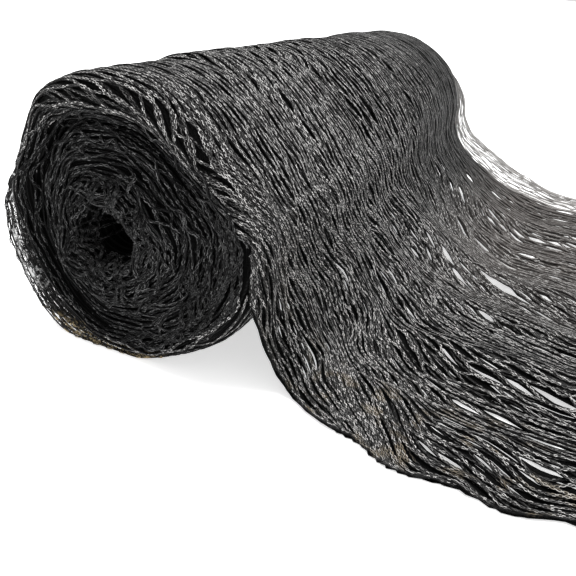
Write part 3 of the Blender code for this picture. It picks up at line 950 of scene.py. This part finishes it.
layers = {
    "outer": (-0.2943, 0.279), "outerOwn": 0.0012,
    "inner": (-0.2935, 0.277), "innerSpread": 0.0040, "innerStep": 0.0065, "innerLift": -0.0010,
    "edge": (0.2780, 0.3330), "edgeSpread": 0.0021, "edgeLift": 0.013, "edgeLies": 0.8,
}
backUs = np.arange(lowestU, firstU, netShape["backStep"])
outerUs = np.concatenate([backUs, np.arange(firstU, looseShape["runOut"], netShape["step"])])
split = len(backUs)
labels = strandPlaces(*layers["outer"], netShape["spread"], netShape["openSpread"])
outer = layStrands(outerUs, labels, netShape["seed"], throughList + roundList, layers["outerOwn"])
middle = len(labels) // 2
nearHalf = tuple(part[:middle] for part in outer)
farHalf = tuple(part[middle:] for part in outer)
makeStrands("wound_strands", strandMaterial, strandGroup(outer, 0, split + 1))
looseNear = makeStrands("loose_strands_near", strandMaterial, strandGroup(nearHalf, split, None))
looseFar = makeStrands("loose_strands_far", strandMaterial, strandGroup(farHalf, split, None))

innerUs = np.arange(firstU, looseShape["runOut"], layers["innerStep"])
innerLabels = strandPlaces(*layers["inner"], layers["innerSpread"], layers["innerSpread"])
inner = layStrands(innerUs, innerLabels, netShape["seed"] + 20, throughList, netShape["halfWide"],
                   layers["innerLift"], 0.8)
looseBelow = makeStrands("loose_strands_below", deepMaterial, strandGroup(inner, 0, None, 1.1, 1.0, 3))

# the far edge stands up off the roll, and lies down again along the floor
edgeLabels = np.arange(*layers["edge"], layers["edgeSpread"])
edgeLift = layers["edgeLift"] * ease((edgeLabels[:, None] - 0.276) / 0.05) * ease((outerUs + 0.09) / 0.10)
edgeLift = edgeLift * (1 - layers["edgeLies"] * ease((outerUs - 0.10) / 0.16))
edge = layStrands(outerUs, edgeLabels, netShape["seed"] + 40, [], 0.0, edgeLift, 1.2)
farEdge = makeStrands("far_edge_strands", laceMaterial, strandGroup(edge, 0, None, 0.84, 0.6))


# The thin cloth of closed-up net that carries the loose strands: flat bands, parted at the gaps
clothShape = {"spread": 0.0029, "halfWide": 0.00195, "halfHigh": 0.00026, "lift": -0.0018,
              "openFrom": 0.050, "openBy": 0.60}


def makeCloth():
    us = np.concatenate([np.arange(firstU, 0, 0.012), np.arange(0, looseShape["runOut"], 0.0062)])
    places = strandPlaces(-0.2940, 0.276, clothShape["spread"], clothShape["spread"])
    laid = layStrands(us, places, netShape["seed"] + 60, throughList, clothShape["halfWide"],
                      clothShape["lift"], 0.3)
    u, y = laid[0], laid[1]
    thin = ease((u - clothShape["openFrom"]) / 0.07) * ease((y + 0.13) / 0.12)
    patch = 0.5 + 0.5 * smoothNoise(u / 0.05 + 40, y / 0.014 + 40, 77)
    label = np.broadcast_to(places[:, None], u.shape)
    fanned = np.gradient(label + laneShift(u, label), axis=0) / clothShape["spread"]
    wide = clothShape["halfWide"] * (1 - clothShape["openBy"] * thin * (0.35 + 0.65 * patch))
    wide = wide * np.clip(fanned, 1, 2) ** (1 - 0.7 * thin)
    group = strandGroup(laid, 0, None, wide / netShape["halfWide"],
                        clothShape["halfHigh"] / netShape["halfHigh"])
    return makeStrands("loose_cloth", clothMaterial, group)


cloth = makeCloth()
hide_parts("loose_end")


# The dark turns below the strands, in the form of the roll's solid
coreShape = {"steps": 128, "places": 66, "rings": 52, "inset": 0.0024, "sunk": 0.0014}


def gridFaces(rows, columns):
    # quads of a grid that closes on itself over its rows
    index = np.arange(rows * columns).reshape(rows, columns)
    index = np.concatenate([index, index[:1]])
    return np.stack([index[:-1, :-1], index[:-1, 1:], index[1:, 1:], index[1:, :-1]], -1).reshape(-1, 4)


def makeCore():
    steps = coreShape["steps"]
    places = np.concatenate([[nearY, nearY + 0.002], np.linspace(nearY + 0.005, farY - 0.005,
                             coreShape["places"]), [farY - 0.002, farY]])
    angles = np.linspace(0, 2 * math.pi, steps, endpoint=False)
    angle, y = np.meshgrid(angles, places, indexing="ij")
    side = onRoll(angle, y, skinRadius(angle, y) - coreShape["inset"])
    side[..., 2] = np.maximum(side[..., 2], floorGap * 2)
    shares = np.linspace(1.0, 0.05, coreShape["rings"])[1:]
    vertices = [side.reshape(-1, 3)]
    faces = gridFaces(steps, len(places)).tolist()
    uvs = [np.stack([angle * rollShape["radius"], y], -1).reshape(-1, 2)]
    base = steps * len(places)
    for surface, rim, sense in ((nearFace, 0, 1), (farFace, len(places) - 1, -1)):
        turn, share = np.meshgrid(angles, shares, indexing="ij")
        points, _ = surface.at(turn, share, -coreShape["sunk"])
        scale = 1 - coreShape["inset"] / rollShape["radius"]
        points[..., 0] *= scale
        points[..., 2] = middleZ + (points[..., 2] - middleZ) * scale
        ring = np.arange(steps) * len(places) + rim
        first = base + np.arange(steps) * len(shares)
        bridge = np.stack([ring, first, np.roll(first, -1), np.roll(ring, -1)], -1)
        rest = gridFaces(steps, len(shares))[:, ::-1] + base
        last = first + len(shares) - 1
        tip = base + steps * len(shares)
        fan = np.stack([last, np.full(steps, tip), np.roll(last, -1)], -1)
        for group in (bridge, rest, fan):
            faces += group[:, ::sense].tolist()
        vertices += [points.reshape(-1, 3), points[:, -1].mean(0)[None]]
        spread = share * rollShape["radius"]
        uvs += [np.stack([turn * spread, spread], -1).reshape(-1, 2), np.zeros((1, 2))]
        base = tip + 1
    uvs = np.concatenate(uvs)
    made = makeObject("wound_turns", np.concatenate(vertices), faces,
                      uvs[np.concatenate([np.array(face) for face in faces])], np.full(base, 0.5),
                      turnsMaterial)
    bpy.ops.object.select_all(action="DESELECT")
    made.select_set(True)
    bpy.context.view_layer.objects.active = made
    bpy.ops.object.mode_set(mode="EDIT")
    bpy.ops.mesh.select_all(action="SELECT")
    bpy.ops.mesh.normals_make_consistent(inside=False)
    bpy.ops.object.mode_set(mode="OBJECT")
    return made


core = makeCore()
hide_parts("netting_roll")
print("wound turns made")


# The end faces: turn after turn of knitted edge, and on the near one loops that stray across it
faceShape = {
    "pitch": 0.0026, "firstShare": 0.20, "lastShare": 0.985, "step": 0.0045,
    "wander": 0.0017, "halfWide": 0.00125, "halfHigh": 0.00070, "strays": 130, "seed": 31,
    "valley": 0.0022,
}


def facePiece(surface, angle, share, lift, tone):
    points, normals = surface.at(angle % (2 * math.pi), np.clip(share, 0.06, 0.995), lift)
    return points[None], normals[None], faceShape["halfWide"], faceShape["halfHigh"], 4, np.array([tone])


def spiralStrands(surface, seed):
    # one long strand wound outwards, cut into turns
    radius = rollShape["radius"]
    pitchShare = faceShape["pitch"] / radius
    turns = int((faceShape["lastShare"] - faceShape["firstShare"]) / pitchShare)
    rng = np.random.default_rng(seed)
    groups = []
    for turn in range(turns):
        share = faceShape["firstShare"] + pitchShare * turn
        steps = max(24, int(2 * math.pi * share * radius / faceShape["step"]))
        start = rng.uniform(0, 2 * math.pi)
        t = np.linspace(0, 1, steps + 1)
        angle = start + 2 * math.pi * t
        closing = np.minimum(1, np.minimum(t, 1 - t) * 14)
        field = smoothNoise(2.6 * np.cos(angle) + 9, 2.6 * np.sin(angle) + 9 + 0.11 * turn, seed)
        own = smoothNoise(t * share * 60 + 5, np.full_like(t, turn * 5.3), seed + 1) * closing
        radial = share + (faceShape["wander"] * field + 0.0010 * own) / radius
        turnsOut = radial * radius / rollShape["turnPitch"] - (angle % (2 * math.pi)) / (2 * math.pi)
        valley = (0.5 - 0.5 * np.cos(2 * math.pi * turnsOut)) ** 3
        lift = 0.0010 + 0.0011 * smoothNoise(t * share * 40 + 5, np.full_like(t, turn * 2.9), seed + 2)
        groups.append(facePiece(surface, angle, radial, lift - faceShape["valley"] * valley, rng.random()))
    return groups


def strayLoops(surface, seed, count):
    # shorter strands that leave their own turn and cross a few others
    rng = np.random.default_rng(seed)
    groups = []
    for _ in range(count):
        lowerRight = rng.random() < 0.45
        start = math.radians(rng.uniform(265, 375)) if lowerRight else rng.uniform(0, 2 * math.pi)
        span = math.radians(rng.uniform(22, 75))
        share = rng.uniform(0.28, 0.95)
        drift = rng.normal(0, 0.12 if lowerRight else 0.05)
        t = np.linspace(0, 1, 20)
        wave = 0.016 * np.sin(2 * math.pi * (rng.uniform(0.8, 2.2) * t + rng.random()))
        lift = 0.0018 + 0.0011 * np.sin(math.pi * t)
        groups.append(facePiece(surface, start + span * t, share + drift * (t - 0.5) + wave, lift,
                                rng.random()))
    return groups


# a darker copy of the strand finish: painted shade on the end faces, which turn away from the light
faceMaterial = knitted("knitted edges of the turns", 0.22, -0.02, 0.004, 0.0)
curlMaterial = filament("filaments of the curls", 0.006, 0.19, -0.02)
# the brim's shine and warm glints are painted into its colour
brimMaterial = filament("filaments of the brim", 0.004, 0.10, 0.0, 0.9)
makeStrands("near_turns", faceMaterial, *spiralStrands(nearFace, faceShape["seed"]),
            *strayLoops(nearFace, faceShape["seed"] + 5, faceShape["strays"]))
makeStrands("far_turns", faceMaterial, *spiralStrands(farFace, faceShape["seed"] + 50))


# Loose curls round the hollow core, and the bundles that cross the near face, each along its own path
curlShape = {"count": 16, "radius": (0.0030, 0.0070), "turns": (0.5, 1.3), "lift": 0.0040, "seed": 43,
             "bundle": 0.0017}
# angle, share of the radius: where the curls gather
curlPlaces = (
    (96, 0.36), (150, 0.34), (212, 0.38), (262, 0.40), (120, 0.28), (178, 0.28), (305, 0.34), (45, 0.34),
)
# strands in the bundle, then its path by angle and share of the radius
bundleTable = (
    (4, (97, 0.31), (95, 0.43), (92, 0.47), (83, 0.45), (74, 0.39), (76, 0.28), (65, 0.25), (54, 0.18)),
    (3, (87, 0.40), (89, 0.44), (81, 0.42), (72, 0.37), (58, 0.34), (35, 0.31), (10, 0.28)),
    (4, (84, 0.37), (80, 0.28), (66, 0.26), (43, 0.32), (27, 0.35), (0, 0.28), (329, 0.28)),
    (2, (80, 0.43), (79, 0.50), (74, 0.54), (67, 0.52), (65, 0.44), (53, 0.44)),
    (2, (153, 0.24), (134, 0.26), (121, 0.28), (136, 0.23), (157, 0.23)),
    (2, (196, 0.27), (181, 0.25), (178, 0.22), (194, 0.23), (202, 0.25)),
    (4, (196, 0.32), (213, 0.25), (240, 0.24), (254, 0.28)),
    (3, (207, 0.36), (218, 0.28), (238, 0.30), (253, 0.35)),
    (3, (205, 0.44), (218, 0.46), (232, 0.46), (255, 0.39)),
    (2, (193, 0.28), (206, 0.36), (216, 0.42), (227, 0.48)),
    (3, (256, 0.34), (260, 0.24), (265, 0.21), (282, 0.23), (292, 0.32)),
    (2, (262, 0.36), (271, 0.26), (278, 0.23), (305, 0.27)),
    (3, (262, 0.61), (275, 0.52), (293, 0.45), (296, 0.40), (285, 0.40), (268, 0.55)),
    (4, (53, 0.46), (28, 0.38), (5, 0.36), (332, 0.35)),
    (4, (322, 0.96), (338, 0.97), (352, 0.96), (6, 0.95), (20, 0.92)),
    (4, (326, 0.92), (345, 0.93), (0, 0.92), (14, 0.90), (30, 0.88)),
    (3, (333, 0.87), (350, 0.89), (8, 0.88), (24, 0.86)),
    (4, (296, 0.95), (303, 0.90), (317, 0.80), (325, 0.72), (338, 0.69), (351, 0.65)),
    (3, (299, 0.95), (310, 0.91), (322, 0.84), (330, 0.75), (339, 0.66), (351, 0.58)),
    (3, (307, 0.95), (318, 0.88), (331, 0.83), (342, 0.77), (355, 0.70)),
    (3, (317, 0.96), (327, 0.93), (338, 0.88), (353, 0.84)),
)


def onFace(x, z, lift):
    return nearFace.at(np.arctan2(z, x) % (2 * math.pi), np.hypot(x, z) / rollShape["radius"], lift)


def bundleStrands(rng):
    groups = []
    for count, *spots in bundleTable:
        turn = np.radians([spot[0] for spot in spots])
        reach = np.array([spot[1] for spot in spots]) * rollShape["radius"]
        knots = np.stack([reach * np.cos(turn), reach * np.sin(turn)], -1)
        for _ in range(count):
            moved = knots + rng.normal(0, curlShape["bundle"], knots.shape)
            run = np.append(0, np.cumsum(np.hypot(*np.diff(moved, axis=0).T)))
            fine = np.arange(0, run[-1], chainShape["stitch"] * 0.8 / chainShape["steps"])
            x, z = (evened(np.interp(fine, run, column), mode="edge") for column in moved.T)
            lift = 0.0026 + 0.0016 * np.sin(math.pi * fine / run[-1]) + rng.uniform(-0.0006, 0.0006)
            points, normals = onFace(x, z, lift)
            groups.append(chained(points[None], normals[None], rng.uniform(0.3, 1.0, 1), 0.8))
    return groups


def makeCurls():
    rng = np.random.default_rng(curlShape["seed"])
    groups = bundleStrands(rng)
    for k in range(curlShape["count"]):
        degrees, share = curlPlaces[k % len(curlPlaces)]
        turn = math.radians(degrees + rng.normal(0, 14))
        place = (share + rng.normal(0, 0.045)) * rollShape["radius"]
        size = rng.uniform(*curlShape["radius"])
        t = np.arange(0, 1, chainShape["stitch"] / 4 / (2 * math.pi * size * curlShape["turns"][1]))
        start = rng.uniform(0, 6.3)
        around = start + rng.choice([-1, 1]) * 2 * math.pi * rng.uniform(*curlShape["turns"]) * t
        size = size * (1 + 0.35 * np.sin(2 * math.pi * t + rng.uniform(0, 6.3)))
        x = place * math.cos(turn) + size * np.cos(around) + rng.normal(0, 0.006) * t
        z = place * math.sin(turn) + size * np.sin(around) + rng.normal(0, 0.006) * t
        points, normals = onFace(x, z, curlShape["lift"] * (0.35 + 0.65 * np.sin(math.pi * t) ** 2))
        groups.append(chained(points[None], normals[None], rng.random(1), 0.8))
    makeStrands("core_curls", curlMaterial, *groups)


makeCurls()


# The open brim of the outer turn round the near rim: flat bands with painted shine at its outer edge, and a
# mesh of dark filaments inside them
brimShape = {
    "from": 136, "to": 330,      # degrees
    "strands": 15, "cell": 0.0060, "fine": 0.64, "lean": 0.005, "seed": 57,
    "bands": 8, "bandWide": 0.00075, "bandHigh": 0.00022, "bandApart": 0.050, "bandStep": 0.0030,
    "backing": 6, "open": 0.36, "backingStep": 0.0050, "behind": 0.0018, "strayLong": 0.016,
}
# angle, how far the brim sags out past the turns
sagTable = (
    (0, 0.000), (134, 0.000), (150, -0.006), (166, -0.010), (176, -0.005), (184, 0.0025), (191, 0.0055),
    (200, 0.0075), (222, 0.010), (242, 0.007), (262, 0.0025), (290, 0.000), (360, 0.000),
)


def brimPath(angle, share, spread, wave, own, behind=0.0):
    degrees = np.degrees(angle)
    sag = readTable(sagTable, degrees, 1) + 0.0016 * smoothNoise(angle * 7, angle * 0 + 9, 60)
    width = readTable(brimTable, degrees, 1) + np.maximum(sag, 0)
    inward = width * (share + spread * (0.46 * wave + 0.5 * own))
    r = outerRadius(angle, np.full_like(angle, nearY)) + sag - 0.0006 - np.maximum(inward, 0)
    y = np.full_like(angle, nearY) + brimShape["lean"] * share + 0.0010 * own + 0.0008 * wave + behind
    points = onRoll(angle, y, r)
    normals = np.zeros_like(points)
    normals[:, 1] = -1
    return points[None], normals[None]


def makeBrim():
    shape = brimShape
    rng = np.random.default_rng(shape["seed"])
    groups = []
    low, high = math.radians(shape["from"]), math.radians(shape["to"])
    radius = rollShape["radius"]

    for k in range(shape["bands"]):
        angle = np.arange(low, high, shape["bandStep"] / radius)
        run = angle * radius
        own = smoothNoise(run / shape["strayLong"], run * 0 + k * 5.1, 61)
        points, normals = brimPath(angle, shape["bandApart"] * k, 0.06, 0 * run, own if k else 0 * own)
        tone = 0.0 if k in (0, 3) else rng.uniform(0.62, 1.0)
        groups.append((points, normals, shape["bandWide"], shape["bandHigh"], 4, np.array([tone])))
    for k in range(shape["backing"]):
        angle = np.arange(low, high, shape["backingStep"] / radius)
        share = shape["open"] + (1.06 - shape["open"]) * k / (shape["backing"] - 1)
        own = smoothNoise(angle * radius / shape["strayLong"], angle * 0 + 5.1, 61)
        points, normals = brimPath(angle, share, 0.10, 0 * angle, own, shape["behind"])
        wide = np.linalg.norm(points - brimPath(angle, 0.0, 0.0, 0.0, 0.0)[0], axis=-1) / share
        wide = wide / shape["backing"] * 0.62
        groups.append((points, normals, wide, shape["bandHigh"], 4, np.zeros(1)))
    for k in range(shape["strands"]):
        angle = np.arange(low, high, chainShape["stitch"] * shape["fine"] / 4 / radius)
        run = angle * radius
        share = 0.06 + 0.94 * k / (shape["strands"] - 1)
        bend = 1.5 * smoothNoise(run / 0.03, run * 0 + 3, 58)
        wave = (1 if k % 2 else -1) * np.sin(math.pi * run / shape["cell"] + bend)
        own = smoothNoise(run / 0.012, run * 0 + k * 5.1, 59)
        points, normals = brimPath(angle, share, 1.4 / shape["strands"], wave, own)
        groups.append(chained(points, normals, rng.uniform(0.0, 0.4, 1), shape["fine"]))
    makeStrands("near_brim", brimMaterial, *groups)


makeBrim()


# The studio: camera at the photo's angle, pale floor, soft light
view = {"eye": (0.238, -0.6076, 0.2505), "yaw": 21.64, "pitch": 26.53, "roll": 6.34, "focal": 640.0,
        "frame": 576.0}


def setCamera():
    yaw, pitch, roll = (math.radians(view[k]) for k in ("yaw", "pitch", "roll"))
    ahead = Vector((-math.sin(yaw) * math.cos(pitch), math.cos(yaw) * math.cos(pitch), -math.sin(pitch)))
    right = ahead.cross(Vector((0, 0, 1))).normalized()
    up = right.cross(ahead)
    turnedRight = math.cos(roll) * right + math.sin(roll) * up
    turnedUp = -math.sin(roll) * right + math.cos(roll) * up
    lens = bpy.data.cameras.new("camera")
    lens.sensor_width = 36.0
    lens.lens = view["focal"] / view["frame"] * lens.sensor_width
    camera = bpy.data.objects.new("camera", lens)
    camera.matrix_world = Matrix.Translation(view["eye"]) @ Matrix(
        (turnedRight, turnedUp, -ahead)).transposed().to_4x4()
    bpy.context.scene.collection.objects.link(camera)
    bpy.context.scene.camera = camera


def setStudio():
    bpy.ops.mesh.primitive_plane_add(size=120, location=(0, 0, -0.0005))
    floor = bpy.context.object
    floor.name = "floor"
    finish = Finish("pale floor")
    finish.give("Base Color", (0.93, 0.93, 0.93, 1))
    finish.give("Roughness", 0.9)
    finish.give("Emission Color", (1, 1, 1, 1))
    finish.give("Emission Strength", 0.60)
    floor.data.materials.append(finish.material)
    world = bpy.data.worlds.new("studio")
    bpy.context.scene.world = world
    world.use_nodes = True
    background = world.node_tree.nodes["Background"]
    background.inputs["Color"].default_value = (1, 1, 1, 1)
    background.inputs["Strength"].default_value = 0.75
    light = bpy.data.lights.new("overhead", "SUN")
    light.energy = 3.0
    light.angle = math.radians(50)
    lamp = bpy.data.objects.new("overhead", light)
    lamp.rotation_euler = Vector((-0.05, -0.30, -1)).to_track_quat("-Z", "Y").to_euler()
    bpy.context.scene.collection.objects.link(lamp)
    bpy.context.scene.view_settings.view_transform = "Standard"


setCamera()
setStudio()
print("studio set")
